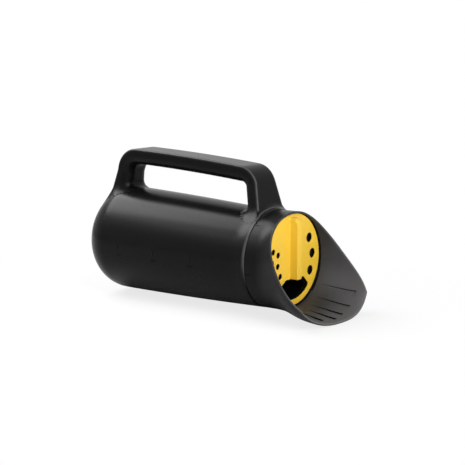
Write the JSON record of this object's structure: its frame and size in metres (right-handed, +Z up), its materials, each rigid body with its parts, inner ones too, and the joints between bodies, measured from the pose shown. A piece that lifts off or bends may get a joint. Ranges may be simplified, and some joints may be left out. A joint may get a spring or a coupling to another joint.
{
  "type": "dial seed sower",
  "caption": "Hand-held seed and fertiliser sower: round container with loop handle, flared scoop head, and a dial that turns a gate, holes or a blank over the outlet.",
  "frame": {"origin": "centre of the flat rear base, on the dial's axis", "axes": "+X forward along the dial's axis to the scoop, +Y to the side of the dial's large holes, +Z up through the handle"},
  "size_m": [0.283, 0.1242, 0.1485],
  "materials": {
    "black_plastic": "satin moulded, fine grain",
    "yellow_plastic": "smooth moulded",
    "seal_rubber": "smooth",
    "bright_steel": "zinc plated"
  },
  "bodies": {
    "housing": {"container": "black_plastic", "neck_seal": "seal_rubber", "scoop_head": "black_plastic", "outlet_plate": "black_plastic"},
    "dial": {"dial": "yellow_plastic", "dial_screw": "bright_steel", "spring_washer": "bright_steel"}
  },
  "joints": [
    {"name": "dial_turn", "type": "hinge", "parent": "housing", "child": "dial", "pos_m": [0.227, 0, 0], "axis": [1, 0, 0], "continuous": true}
  ]
}
